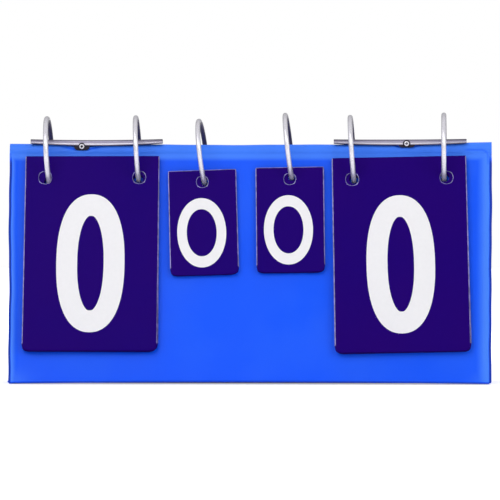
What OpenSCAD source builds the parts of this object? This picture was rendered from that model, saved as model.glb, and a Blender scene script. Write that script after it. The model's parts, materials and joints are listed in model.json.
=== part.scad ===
// Tabletop flip scoreboard: a folding tent of vinyl-covered boards with four stacks of number cards.
// Origin: middle of the base, on the table. +X runs along the ridge, the front leans towards -Y.

/* [Tent] */
// Length of the boards along the ridge
board_w = 385; // [330:1:470]
// Length of a leaning panel, from the ridge axis to its bottom edge
panel_len = 190; // [182:1:230]
// Lean of each panel from upright, in degrees
lean = 16; // [14:0.5:19]
// Thickness of the greyboard in the panels
board_t = 2.5; // [2:0.1:3.2]
// Thickness of the vinyl sheet
vinyl_t = 0.6; // [0.4:0.1:0.8]
// Width of the welded vinyl margin round each board
weld_margin = 4; // [3:0.5:6]
// Corner radius of the welded covers
cover_corner_r = 4; // [2:0.5:6]

/* [Ridge] */
// Outer radius of the rolled vinyl fold on the ridge axis
fold_r = 4.2; // [3.8:0.1:4.4]
// Wall of the rolled fold
fold_wall = 1; // [0.8:0.1:1.4]
// Length of a ridge plate
plate_len = 106.5; // [90:0.5:115]
// Middle of the left ridge plate
left_plate_x = -123; // [-128:0.1:-118]
// Middle of the right ridge plate
right_plate_x = 120.6; // [115:0.1:125]
// Height of the plate's crown over the ridge axis
plate_crown = 7; // [6.6:0.1:7.2]
// Thickness of the plate's steel
plate_t = 0.8; // [0.6:0.1:1]
// Height of the plate's long edges over the ridge axis
plate_edge = 2.6; // [2.4:0.1:3.2]
// Width of the lug that the rivet holds
lug_w = 12.7; // [10:0.1:16]
// Radius of the rivet's shank
rivet_r = 1.6; // [1.2:0.1:1.8]
// Radius of the rivet's heads
rivet_head_r = 2.9; // [2.4:0.1:3.2]

/* [Rings] */
// Mean radius of a ring
ring_r = 28; // [27:0.5:30]
// Diameter of the ring wire
wire_d = 4; // [3:0.1:4.2]
// Depth of the ring's centre under the ridge axis
ring_drop = 1.8; // [1.4:0.1:2.2]
// Distance between the two rings of a big stack
ring_pitch = 73; // [60:1:80]
// Radius of a ring's hinge eye
eye_r = 3.2; // [2.8:0.1:3.6]
// Radius of the ring's hinge pin
ring_pin_r = 1; // [0.8:0.1:1.2]

/* [Cards] */
// Leaves in each big stack
big_leaves = 8; // [2:1:8]
// Leaves in each small stack
small_leaves = 6; // [2:1:6]
// Width of a big card
big_w = 106.5; // [90:0.5:112]
// Length of a big card
big_len = 160; // [130:1:164]
// Width of a small card
small_w = 54; // [40:0.5:60]
// Length of a small card
small_len = 86.5; // [70:0.5:110]
// Thickness of a laminated card
card_t = 0.35; // [0.25:0.05:0.4]
// Gap between neighbouring cards
card_gap = 0.25; // [0.2:0.05:0.3]
// Corner radius at a card's lower end
card_corner_r = 5; // [2:0.5:8]
// Clearance round the wire in a big card's holes
big_hole_clear = 3.2; // [2.6:0.1:3.5]
// Clearance round the wire in a small card's hole
small_hole_clear = 2.7; // [2.3:0.1:3.5]
// Distance from a big card's top edge to its holes
big_hole_inset = 17.8; // [16:0.1:18]
// Distance from a small card's top edge to its hole
small_hole_inset = 9.8; // [8:0.1:14]
// Extra distance between a big card's holes over the ring pitch
hole_pitch_extra = 2; // [0:0.5:2]
// Middle of the left big stack
left_big_x = -125.3; // [-135:0.1:-110]
// Middle of the right big stack
right_big_x = 119.4; // [110:0.1:130]
// Middle of the left small stack
left_small_x = -37.4; // [-45:0.1:-35]
// Middle of the right small stack
right_small_x = 32.4; // [30:0.1:40]

/* [Base] */
// Thickness of the greyboard in the base flap
base_board_t = 2; // [1.5:0.1:3]
// Distance from the front panel's bottom corner back to the flap's front edge
flap_setback = 1; // [1:0.5:6]
// Length of the hook-and-loop bands
band_len = 300; // [200:5:320]
// Thickness of a hook-and-loop band
band_t = 0.8; // [0.6:0.1:1.2]
// Width of the loop band on the flap
loop_w = 14; // [8:1:20]

/* [Hidden] */
// Clearances
seat_gap = 0.3;
plate_clear = 0.4;
pin_clear = 0.05;
eye_gap = 0.1;
ring_end_gap = 0.1;
// How far a cut runs past the surface that it opens
cut_over = 1;
front_hole_clear = 1.25;
back_hole_clear = 2;
wire_r = wire_d / 2;

// Panels: offsets are measured outwards from the plane through the ridge axis
panel_in = seat_gap;
panel_t = board_t + 2 * vinyl_t;
panel_out = panel_in + panel_t;
panel_top = fold_r + seat_gap;
panel_half_w = board_w / 2;

// Base flap
flap_t = base_board_t + 2 * vinyl_t;
foot_out_y = panel_len * sin(lean) + panel_out * cos(lean);
axis_z = flap_t + seat_gap + panel_len * cos(lean) - panel_in * sin(lean);
flap_front_y = -(foot_out_y - flap_setback);
loop_front_y = flap_front_y + vinyl_t;

// Rings: the slope distance at which the wire crosses a plane at an outward offset
function crossing(offset) =
    ring_drop * cos(lean) + sqrt(pow(ring_r, 2) - pow(offset + ring_drop * sin(lean), 2));
ring_z = axis_z - ring_drop;
panel_hole_s = crossing(panel_in + panel_t / 2);

// Cards
big_seat = 1.2;
small_seat = 0.6;
big_first = panel_out + big_seat;
small_first = panel_out + small_seat;
leaf_pitch = card_t + card_gap;
big_hole_d = wire_d + 2 * big_hole_clear;
small_hole_d = wire_d + 2 * small_hole_clear;
// Height of the holes' middles over the wire at the rearmost leaf
big_hole_rise = 2.4;
small_hole_rise = 0.8;
big_hole_s = crossing(big_first) - big_hole_rise;
big_top_s = big_hole_s - big_hole_inset;
small_hole_s = crossing(small_first) - small_hole_rise;
small_top_s = small_hole_s - small_hole_inset;
big_hole_pitch = ring_pitch + hole_pitch_extra;

big_x = [left_big_x, right_big_x];
plate_x = [left_plate_x, right_plate_x];
small_x = [left_small_x, right_small_x];
ring_x = [
    left_big_x - ring_pitch / 2,
    left_big_x + ring_pitch / 2,
    left_small_x,
    right_small_x,
    right_big_x - ring_pitch / 2,
    right_big_x + ring_pitch / 2
];
// Offset of each plate's rivet from the plate's middle
rivet_dx = [-12.1, 5.5];
rivet_x = plate_x + rivet_dx;
rivet_z = 2.6;
lug_margin = 0.6;
lug_bottom = rivet_z - rivet_head_r - lug_margin;
rivet_head_t = 0.9;
rivet_bore_r = 0.9;

sides = ["left", "right"];
$fn = 48;

// Places children in the front panel's frame: x along the ridge, -z down the slope, -y outwards
module on_front() {
    translate([0, 0, axis_z]) rotate([-lean, 0, 0]) children();
}

// The same for the back panel
module on_back() {
    mirror([0, 1, 0]) on_front() children();
}

// A slab of the drawn outline, from one outward offset to another
module sheet(offset_in, offset_out) {
    translate([0, -offset_in, 0])
        rotate([90, 0, 0])
            linear_extrude(offset_out - offset_in) children();
}

// A rectangle hung from its top edge, with round lower corners
module hung_outline(w, top, bottom, r) {
    translate([-w / 2, -bottom + r]) square([w, bottom - top - r]);
    translate([-w / 2 + r, -bottom]) square([w - 2 * r, r + 1]);
    for (side = [-1, 1]) {
        translate([side * (w / 2 - r), -bottom + r]) circle(r);
    }
}

// A rectangle with four round corners, from its low corner
module round_outline(w, h, r) {
    translate([r, 0]) square([w - 2 * r, h]);
    translate([0, r]) square([w, h - 2 * r]);
    for (x = [r, w - r]) {
        for (y = [r, h - r]) {
            translate([x, y]) circle(r);
        }
    }
}

// The holes for all six rings through a panel
module panel_holes(d) {
    for (x = ring_x) {
        translate([x, 0, -panel_hole_s])
            rotate([90, 0, 0])
                cylinder(h = 2 * (panel_out + cut_over), d = d, center = true);
    }
}

// The slot in the front panel's bottom edge that takes the hook band
module band_slot() {
    translate([-band_len / 2, -panel_out + vinyl_t, -panel_len - cut_over])
        cube([band_len, board_t, cut_over + band_t]);
}

// Greyboard core of a leaning panel
module panel_core(d) {
    margin = weld_margin;
    top = panel_top + vinyl_t;
    difference() {
        sheet(panel_in + vinyl_t, panel_in + vinyl_t + board_t)
            translate([-panel_half_w + margin, -panel_len + margin])
                square([board_w - 2 * margin, panel_len - top - margin]);
        panel_holes(d);
    }
}

// Welded vinyl round a leaning panel's core, slotted for the hook band or not
module panel_cover(d, slotted) {
    margin = weld_margin;
    top = panel_top + vinyl_t;
    difference() {
        sheet(panel_in, panel_out)
            hung_outline(board_w, panel_top, panel_len, cover_corner_r);
        sheet(panel_in + vinyl_t, panel_in + vinyl_t + board_t)
            translate([-panel_half_w + margin, -panel_len + margin])
                square([board_w - 2 * margin, panel_len - top - margin]);
        panel_holes(d);
        if (slotted) band_slot();
    }
}

module front_board() {
    color("#8a8378") on_front() panel_core(wire_d + 2 * front_hole_clear);
}

module front_cover_vinyl() {
    color("#2458ff") on_front() panel_cover(wire_d + 2 * front_hole_clear, true);
}

module back_board() {
    color("#8a8378") on_back() panel_core(wire_d + 2 * back_hole_clear);
}

module back_cover_vinyl() {
    color("#2458ff") on_back() panel_cover(wire_d + 2 * back_hole_clear, false);
}

// Rolled vinyl along the ridge, on the axis that the back panel folds about
module ridge_fold() {
    color("#2f62ff")
        translate([0, 0, axis_z])
            rotate([0, 90, 0])
                difference() {
                    cylinder(h = board_w, r = fold_r, center = true);
                    cylinder(h = board_w + 2 * cut_over, r = fold_r - fold_wall, center = true);
                    for (i = [0:1]) {
                        rivet_hole(rivet_x[i]);
                    }
                }
}

// A rivet's hole across the fold, in the fold's own frame
module rivet_hole(x) {
    translate([-rivet_z, 0, x])
        rotate([90, 0, 0])
            cylinder(h = 4 * fold_r, r = rivet_r, center = true);
}

module flap_outline() {
    translate([-panel_half_w, flap_front_y])
        round_outline(board_w, foot_out_y - flap_front_y, cover_corner_r);
}

module flap_core() {
    margin = weld_margin;
    translate([-panel_half_w + margin, flap_front_y + margin, vinyl_t])
        cube([board_w - 2 * margin, foot_out_y - flap_front_y - 2 * margin, base_board_t]);
}

// Recess in the flap's upper vinyl and board for the loop band
module loop_recess() {
    translate([-band_len / 2, loop_front_y, flap_t - band_t])
        cube([band_len, loop_w, band_t + cut_over]);
}

module base_board() {
    color("#8a8378")
        difference() {
            flap_core();
            loop_recess();
        }
}

module base_cover_vinyl() {
    color("#1f4fe0")
        difference() {
            linear_extrude(flap_t) flap_outline();
            flap_core();
            loop_recess();
        }
}

module loop_band() {
    color("#1b2f7a")
        translate([-band_len / 2, loop_front_y, flap_t - band_t])
            cube([band_len, loop_w, band_t]);
}

module hook_band() {
    color("#1b2f7a")
        on_front()
            translate([-band_len / 2, -panel_out + vinyl_t, -panel_len])
                cube([band_len, board_t, band_t]);
}

// Section of the ridge plate: a round crown on two straight legs, as deep as the crown is high
module plate_section(r) {
    crown_z = plate_crown - fold_r - plate_clear - plate_t;
    translate([0, crown_z]) circle(r);
    translate([-r, -plate_crown]) square([2 * r, crown_z + plate_crown]);
}

// A length of plate, from the given height up, centred on x
module plate_length(x, len, bottom) {
    out_r = fold_r + plate_clear + plate_t;
    translate([x, 0, axis_z])
        rotate([90, 0, 90])
            linear_extrude(len, center = true)
                difference() {
                    intersection() {
                        plate_section(out_r);
                        translate([-out_r, bottom]) square([2 * out_r, plate_crown - bottom]);
                    }
                    plate_section(out_r - plate_t);
                }
}

module ridge_plate(i) {
    color("#8c86a0")
        difference() {
            union() {
                plate_length(plate_x[i], plate_len, plate_edge);
                plate_length(rivet_x[i], lug_w, lug_bottom);
            }
            translate([rivet_x[i], 0, axis_z + rivet_z])
                rotate([90, 0, 0])
                    cylinder(h = 4 * fold_r, r = rivet_r, center = true);
        }
}

// Tubular rivets across the ridge, one through each plate
module plate_rivets() {
    lug_y = fold_r + plate_clear + plate_t;
    color("#c8c4d0")
        for (i = [0:1]) {
            translate([rivet_x[i], 0, axis_z + rivet_z])
                rotate([90, 0, 0])
                    difference() {
                        union() {
                            cylinder(h = 2 * lug_y, r = rivet_r, center = true);
                            for (side = [-1, 1]) {
                                translate([0, 0, side * (lug_y + rivet_head_t / 2)])
                                    cylinder(h = rivet_head_t, r = rivet_head_r, center = true);
                            }
                        }
                        cylinder(h = 4 * fold_r, r = rivet_bore_r, center = true);
                    }
        }
}

// Half of a ring: side -1 is the front half, side 1 the back half
module half_ring(i, side) {
    translate([ring_x[i], 0, ring_z])
        difference() {
            rotate([0, 90, 0])
                rotate([0, 0, side < 0 ? 180 : 0])
                    rotate([0, 0, -90])
                        half_torus();
            ring_end_cut(side);
        }
}

module half_torus() {
    rotate([0, 0, 90]) rotate_extrude(angle = 180) translate([ring_r, 0]) circle(wire_r);
}

// Clears the other half's eye, and leaves a hairline joint at the top
module ring_end_cut(side) {
    eye_clear = eye_r + seat_gap;
    translate([0, 0, -ring_r])
        rotate([0, 90, 0])
            translate([0, 0, side < 0 ? -eye_gap / 2 : eye_gap / 2 - wire_d])
                cylinder(h = wire_d, r = eye_clear);
    translate([-wire_d, -ring_end_gap / 2, ring_r - wire_d])
        cube([2 * wire_d, ring_end_gap, 2 * wire_d]);
}

// The eye at a half ring's lower end
module ring_eye(i, side, bore_r) {
    eye_w = wire_r - eye_gap / 2;
    translate([ring_x[i], 0, ring_z - ring_r])
        rotate([0, 90, 0])
            translate([0, 0, side < 0 ? -wire_r : eye_gap / 2])
                difference() {
                    cylinder(h = eye_w, r = eye_r);
                    translate([0, 0, -cut_over]) cylinder(h = eye_w + 2 * cut_over, r = bore_r);
                }
}

module pin_bore(i, r) {
    translate([ring_x[i], 0, ring_z - ring_r])
        rotate([0, 90, 0])
            cylinder(h = 3 * wire_d, r = r, center = true);
}

module ring_front_half(i) {
    color("#d8d4e0")
        difference() {
            union() {
                half_ring(i, -1);
                ring_eye(i, -1, ring_pin_r);
            }
            pin_bore(i, ring_pin_r);
        }
}

module ring_back_half(i) {
    color("#c8c4d0")
        difference() {
            union() {
                half_ring(i, 1);
                ring_eye(i, 1, ring_pin_r + pin_clear);
            }
            pin_bore(i, ring_pin_r + pin_clear);
        }
}

module ring_pins() {
    color("#e0dce6")
        for (i = [0:5]) {
            translate([ring_x[i], 0, ring_z - ring_r])
                rotate([0, 90, 0])
                    cylinder(h = wire_d, r = ring_pin_r, center = true);
        }
}

// A big card, punched with two holes; leaf 0 is the foremost
module big_card(x, k) {
    depth = big_first + (big_leaves - 1 - k) * leaf_pitch;
    color("#22066a")
        translate([x, 0, 0])
            on_front()
                sheet(depth, depth + card_t)
                    difference() {
                        hung_outline(big_w, big_top_s, big_top_s + big_len, card_corner_r);
                        for (side = [-1, 1]) {
                            translate([side * big_hole_pitch / 2, -big_hole_s])
                                circle(d = big_hole_d);
                        }
                    }
}

// A small card, punched with one hole
module small_card(x, k) {
    depth = small_first + (small_leaves - 1 - k) * leaf_pitch;
    color("#22066a")
        translate([x, 0, 0])
            on_front()
                sheet(depth, depth + card_t)
                    difference() {
                        hung_outline(small_w, small_top_s, small_top_s + small_len, card_corner_r);
                        translate([0, -small_hole_s]) circle(d = small_hole_d);
                    }
}

front_board();
front_cover_vinyl();
back_board();
back_cover_vinyl();
ridge_fold();
base_board();
base_cover_vinyl();
hook_band();
loop_band();
ridge_plate(0);  // ridge_plate_left
ridge_plate(1);  // ridge_plate_right
plate_rivets();
ring_pins();
for (i = [0:5]) {
    ring_front_half(i);
    ring_back_half(i);
}
for (s = [0:1]) {
    for (k = [0:big_leaves - 1]) {
        big_card(big_x[s], k);
    }
    for (k = [0:small_leaves - 1]) {
        small_card(small_x[s], k);
    }
}
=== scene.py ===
"""Looks of a tabletop flip scoreboard: a folding tent of vinyl covers with four stacks of cards."""

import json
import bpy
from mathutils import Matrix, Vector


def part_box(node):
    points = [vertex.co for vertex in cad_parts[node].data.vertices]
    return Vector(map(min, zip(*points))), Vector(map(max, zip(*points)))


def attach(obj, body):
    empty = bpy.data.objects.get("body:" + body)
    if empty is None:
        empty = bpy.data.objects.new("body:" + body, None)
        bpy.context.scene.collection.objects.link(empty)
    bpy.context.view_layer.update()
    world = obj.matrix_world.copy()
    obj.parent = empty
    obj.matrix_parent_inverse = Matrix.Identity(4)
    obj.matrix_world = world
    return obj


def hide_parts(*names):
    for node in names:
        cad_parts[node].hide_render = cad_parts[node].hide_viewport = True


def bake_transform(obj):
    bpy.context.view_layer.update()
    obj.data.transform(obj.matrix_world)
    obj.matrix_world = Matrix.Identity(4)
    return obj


bl_info = {
    "name": "Flip scoreboard",
    "version": (1, 0, 0),
    "blender": (4, 5, 0),
    "location": "3D View > Sidebar > Scoreboard",
    "description": "Builds the covers, cards, rings and studio of a tabletop flip scoreboard",
    "category": "Object",
}

from math import asin, ceil, cos, pi, radians, sin

import bpy
import numpy as np
from bpy.props import FloatProperty, FloatVectorProperty, IntProperty, PointerProperty
from mathutils import Vector

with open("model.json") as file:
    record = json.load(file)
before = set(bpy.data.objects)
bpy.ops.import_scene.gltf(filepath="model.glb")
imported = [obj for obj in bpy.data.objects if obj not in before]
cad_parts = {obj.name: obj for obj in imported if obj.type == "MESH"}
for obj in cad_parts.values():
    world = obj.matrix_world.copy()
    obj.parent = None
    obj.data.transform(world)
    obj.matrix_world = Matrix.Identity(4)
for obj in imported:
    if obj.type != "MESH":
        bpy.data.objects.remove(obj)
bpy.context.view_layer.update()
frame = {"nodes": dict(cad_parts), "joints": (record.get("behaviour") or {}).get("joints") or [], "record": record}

# Lengths in this file are millimetres until a mesh is made
MM = 0.001
JOINTS = {j["name"]: j for j in frame["joints"]}
BODIES = frame["record"]["behaviour"]["bodies"]
AXIS_Z = JOINTS["cover_fold"]["pos_m"][2] / MM
RING_Z = JOINTS["left_points_0_flip"]["pos_m"][2] / MM
# Each panel's lean from upright
LEAN = radians(16)
FRONT, BACK = -1, 1
SIDES = {"front": FRONT, "back": BACK}
RINGS = range(1, 7)
# The stacks: the name that its leaves share, and the number of leaves
STACKS = {
    f"{side}_{kind}": sum(b.startswith(f"{side}_{kind}_") for b in BODIES)
    for side in ("left", "right")
    for kind in ("points", "games")
}


def linear(code):
    """An sRGB hex code as a linear colour."""
    value = np.array([int(code[i : i + 2], 16) / 255 for i in (1, 3, 5)])
    value = np.where(value <= 0.04045, value / 12.92, ((value + 0.055) / 1.055) ** 2.4)
    return tuple(float(v) for v in value)


# Settings


def colour_setting(name, description, code):
    return FloatVectorProperty(
        name=name, description=description, subtype="COLOR", size=3, min=0, max=1, default=linear(code)
    )


def length_setting(name, description, default):
    return FloatProperty(name=name, description=description, unit="LENGTH", default=default * MM)


class CoverSettings(bpy.types.PropertyGroup):
    vinyl: colour_setting("Vinyl", "Colour of the PVC sheet", "#0C57FA")
    # Painted highlight: this lighter blue stands in for light caught along the ridge, in bands inside the sides
    # and in the lower corners
    vinyl_painted_highlight: colour_setting(
        "Stretched vinyl", "Colour of the sheet where it is stretched over an edge", "#4483F9"
    )
    # Painted shade: this deeper blue stands in for shade on the cover's edge walls, in the creases below the
    # rivets, along the corner weld line and in the turn at the foot
    vinyl_painted_shade: colour_setting("Welded vinyl", "Colour of the sheet in its weld and creases", "#1236A8")
    weld_width: length_setting("Weld width", "Width of the flat welded edge", 0.7)
    shoulder: length_setting("Shoulder", "Width over which the sheet rises from the weld to the board", 1.3)
    pillow: length_setting("Pillow", "Height of the roll of sheet along the board's edge", 0.4)


class CardSettings(bpy.types.PropertyGroup):
    ink: colour_setting("Card ink", "Printed ground of the cards", "#20046A")
    numeral: colour_setting("Numeral", "Unprinted white of the numbers", "#EEEDF0")
    film: colour_setting("Film edge", "Clear film past the card's edge, over white card", "#8C84C4")
    film_margin: length_setting("Film margin", "Width of the film's edge round a card", 0.42)
    big_height: length_setting("Big number height", "Height of a big number", 113.4)
    big_width: length_setting("Big number width", "Width of a big number", 54.2)
    big_stroke: length_setting("Big number stroke", "Stroke of a big number", 17.2)
    small_height: length_setting("Small number height", "Height of a small number", 57.2)
    small_width: length_setting("Small number width", "Width of a small number", 38.9)
    small_stroke: length_setting("Small number stroke", "Stroke of a small number", 8.4)


class MetalSettings(bpy.types.PropertyGroup):
    nickel: colour_setting("Nickel", "Colour of the plated ring wire", "#DCDAE2")
    # Painted shade: the darker violet grey of the back halves' inner side stands in for shade
    wire_painted_shade: colour_setting("Tarnish", "Colour of the wire where it is dulled on its inside", "#4A4458")
    steel: colour_setting("Plate steel", "Colour of the pressed ridge plates", "#A39DB4")
    wire: length_setting("Wire", "Diameter of the ring wire", 4.0)


class StageSettings(bpy.types.PropertyGroup):
    floor: colour_setting("Floor", "Colour of the floor", "#F4F4F5")
    distance: FloatProperty(
        name="Camera distance", description="From the ridge to the lens", unit="LENGTH", default=3.5
    )
    height: FloatProperty(name="Camera height", description="Above the floor", unit="LENGTH", default=0.13)
    sideways: FloatProperty(
        name="Camera offset", description="To the right of the middle", unit="LENGTH", default=0.1
    )
    lens: FloatProperty(
        name="Lens", description="Focal length on a 36 mm sensor, in millimetres", default=315.2
    )
    curve_points: IntProperty(
        name="Ring facets", description="Facets round the ring wire", default=28, min=8
    )


# Meshes


def panel_points(side, x, s, w):
    """Points of a leaning panel: s is the distance down the slope from the ridge axis and w the height over
    the plane through that axis, so y = side (s sin + w cos) and z = axis - s cos + w sin of the lean."""
    y = side * (s * sin(LEAN) + w * cos(LEAN))
    return np.stack([x, y, AXIS_Z - s * cos(LEAN) + w * sin(LEAN)], -1)


def node_points(node):
    """A CAD node's points in millimetres."""
    mesh = frame["nodes"][node].data
    co = np.empty(len(mesh.vertices) * 3, np.float32)
    mesh.vertices.foreach_get("co", co)
    return co.reshape(-1, 3).astype(float) / MM


def panel_box(node, side):
    """Lowest and highest (x, s, w) of a CAD node in its panel's own directions."""
    x, y, z = node_points(node).T
    y, z = side * y, z - AXIS_Z
    own = np.stack([x, y * sin(LEAN) - z * cos(LEAN), y * cos(LEAN) + z * sin(LEAN)])
    return own.min(1), own.max(1)


def node_box(node):
    low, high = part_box(node)
    return np.array(low) / MM, np.array(high) / MM


def grid_lines(start, end, step, marks=()):
    """Rising positions from start to end, evenly spaced between the marks and no further apart than about
    step."""
    stops = sorted({start, end, *[m for m in marks if start < m < end]})
    runs = [np.linspace(a, b, ceil((b - a) / step), endpoint=False) for a, b in zip(stops, stops[1:])]
    return np.concatenate([*runs, [end]])


def holed_grid(xs, ys, holes=(), rings=5):
    """A flat grid with round holes. Each hole is (x, y, radius, half block, shift): the square block of
    that half size gives way to rings of points, p = (1 - t) square + t circle at the same angle, with t
    from 0 on the block's edge to 1 on the hole's, whose centre stands shift above the block's."""
    shape = (len(xs), len(ys))
    ids = np.arange(len(xs) * len(ys)).reshape(shape)
    flat = np.stack(np.meshgrid(xs, ys, indexing="ij"), -1).reshape(-1, 2)
    keep = np.ones((len(xs) - 1, len(ys) - 1), bool)
    points, quads, loops, count = [flat], [], [], len(flat)
    for x, y, radius, half, shift in holes:
        i0, i1 = (np.abs(xs - x - d).argmin() for d in (-half, half))
        j0, j1 = (np.abs(ys - y - d).argmin() for d in (-half, half))
        keep[i0:i1, j0:j1] = False
        last = np.concatenate([ids[i0:i1, j0], ids[i1, j0:j1], ids[i1:i0:-1, j1], ids[i0, j1:j0:-1]])
        square = flat[last]
        angle = np.arctan2(square[:, 1] - y, square[:, 0] - x)
        circle = np.stack([x + radius * np.cos(angle), y + shift + radius * np.sin(angle)], 1)
        for t in np.linspace(0, 1, rings + 1)[1:] ** 0.7:
            points.append((1 - t) * square + t * circle)
            ring = count + np.arange(len(square))
            quads.append(np.stack([last, np.roll(last, -1), np.roll(ring, -1), ring], 1))
            last, count = ring, count + len(square)
        loops.append(last)
    corners = (ids[:-1, :-1], ids[1:, :-1], ids[1:, 1:], ids[:-1, 1:])
    quads.append(np.stack([c[keep] for c in corners], 1))
    outline = np.concatenate([ids[:-1, 0], ids[-1, :-1], ids[:0:-1, -1], ids[0, :0:-1]])
    return np.concatenate(points), np.concatenate(quads), outline, loops


def round_corners(points, low, high, radius, corners):
    """Bends a rectangle's corners round: inside the corner's square the offset (a, b) from its inner end is
    scaled by max(a, b) / hypot(a, b), which carries squares to circles. corners holds pairs of signs."""
    low, high = np.array(low, float), np.array(high, float)
    bent = points.copy()
    for signs in corners:
        sign = np.array(signs)
        centre = np.where(sign > 0, high - radius, low + radius)
        own = (points - centre) * sign
        inside = (own > 0).all(1)
        part = own[inside]
        scale = part.max(1) / np.maximum(np.hypot(*part.T), 1e-9)
        bent[inside] = centre + part * scale[:, None] * sign
    return bent


def slab(grid, place, outer, inner):
    """Closes a grid into a slab between two height fields: place(x, y, height) with outer(x, y) above and
    inner(x, y) below, and a wall along the outline and round each hole."""
    points, quads, outline, loops = grid
    x, y = points.T
    n = len(points)
    verts = np.concatenate([place(x, y, outer(x, y)), place(x, y, inner(x, y))])
    walls = []
    for loop, turn in [(outline, False), *[(hole, True) for hole in loops]]:
        a, b = (loop, np.roll(loop, -1)) if turn else (np.roll(loop, -1), loop)
        walls.append(np.stack([a, b, b + n, a + n], 1))
    return verts, [quads, quads[:, ::-1] + n, np.concatenate(walls)]


def swept(path, across, up, profile, closed=False):
    """Carries a profile along a path: point = path + profile[0] across + profile[1] up. The path's arrays
    have a row for each step, and the profile is (k, 2) or (steps, k, 2). Open ends get a flat cap each."""
    profile = np.broadcast_to(profile, (len(path), *profile.shape[-2:]))
    verts = path[:, None] + profile[..., :1] * across[:, None] + profile[..., 1:] * up[:, None]
    steps, k = profile.shape[:2]
    ids = np.arange(steps * k).reshape(steps, k)
    if closed:
        ids = np.concatenate([ids, ids[:1]])
    ids = np.concatenate([ids, ids[:, :1]], 1)
    faces = np.stack([ids[:-1, :-1], ids[1:, :-1], ids[1:, 1:], ids[:-1, 1:]], -1).reshape(-1, 4)
    caps = [] if closed else [ids[0, :k].tolist(), ids[-1, :k][::-1].tolist()]
    return verts.reshape(-1, 3), faces.tolist() + caps


def turned(profile, centre, axis, facets=48):
    """A surface of revolution: each profile point (radius, height) runs in a circle round the axis through
    the centre."""
    axis = np.array(axis, float)
    side = np.cross(axis, [1.0, 0.0, 0.0] if abs(axis[0]) < 0.9 else [0.0, 1.0, 0.0])
    side /= np.linalg.norm(side)
    angle = np.linspace(0, 2 * pi, facets, endpoint=False)
    spoke = np.cos(angle)[:, None] * side + np.sin(angle)[:, None] * np.cross(axis, side)
    path = np.broadcast_to(np.array(centre, float), spoke.shape)
    return swept(path, spoke, np.broadcast_to(axis, spoke.shape), np.array(profile, float), True)


def along_ridge(x, z, profile):
    """Carries a (y, z) profile along x, at the height z."""
    path = np.stack([x, np.zeros_like(x), z * np.ones_like(x)], 1)
    across, up = (np.tile(way, (len(x), 1)) for way in ([0.0, 1.0, 0.0], [0.0, 0.0, 1.0]))
    return swept(path, across, up, profile)


def joined(*parts):
    """Several (verts, faces) as one."""
    verts, faces, start = [], [], 0
    for part, part_faces in parts:
        verts.append(part)
        faces += [[start + i for i in face] for face in part_faces]
        start += len(part)
    return np.concatenate(verts), faces


def make_piece(name, verts, faces, materials, index=None, crease=35, painted_light=None):
    """A mesh object at the origin, without its unused points. Faces are turned outwards as a whole, by the sign of
    the volume that they enclose. The last argument gives each point a value of painted light, which the sheet's
    and the steel's materials read: above 0 a painted highlight, below 0 painted shade."""
    mesh = bpy.data.meshes.new(name)
    used = np.unique(np.concatenate([np.asarray(face) for face in faces]))
    renumber = np.zeros(len(verts), int)
    renumber[used] = np.arange(len(used))
    faces = [renumber[face].tolist() for face in faces]
    verts = verts[used]
    mesh.from_pydata((verts * MM).tolist(), [], faces)
    for material in materials:
        mesh.materials.append(material)
    if index is not None:
        mesh.polygons.foreach_set("material_index", np.asarray(index, np.int32))
    if painted_light is not None:
        mesh.attributes.new("painted_light", "FLOAT", "POINT").data.foreach_set(
            "value", painted_light[used].astype(np.float32)
        )
    mesh.validate()
    centre = np.array([p.center for p in mesh.polygons])
    normal = np.array([p.normal for p in mesh.polygons])
    area = np.array([p.area for p in mesh.polygons])
    if ((centre * normal).sum(1) * area).sum() < 0:
        mesh.flip_normals()
    mesh.shade_smooth()
    mesh.set_sharp_from_angle(angle=radians(crease))
    piece = bpy.data.objects.new(name, mesh)
    bpy.context.scene.collection.objects.link(piece)
    return piece


# Materials


def add(tree, kind, values=None, **settings):
    """Adds a node. settings are its own properties, and values maps a socket's name or number to a number,
    a colour or the output socket that feeds it."""
    made = tree.nodes.new(kind)
    for key, value in settings.items():
        setattr(made, key, value)
    for key, value in (values or {}).items():
        if isinstance(value, bpy.types.NodeSocket):
            tree.links.new(value, made.inputs[key])
        else:
            made.inputs[key].default_value = value
    return made


def start_material(name):
    """A material with an empty tree, its output and an Object coordinate node."""
    material = bpy.data.materials.new(name)
    material.use_nodes = True
    tree = material.node_tree
    tree.nodes.clear()
    return material, tree, add(tree, "ShaderNodeTexCoord").outputs["Object"]


def finish_material(tree, values):
    shader = add(tree, "ShaderNodeBsdfPrincipled", values)
    add(tree, "ShaderNodeOutputMaterial", {"Surface": shader.outputs[0]})


def rgba(colour):
    return (*tuple(colour)[:3], 1.0)


def mixed(tree, share, first, second):
    """The colour that goes from the first to the second with the share."""
    return add(tree, "ShaderNodeMix", {0: share, 6: first, 7: second}, data_type="RGBA").outputs[2]


def shade(colour, *shares):
    """A colour with its red, green and blue times the shares, or times the one share."""
    return rgba(np.array(colour)[:3] * shares)


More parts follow.
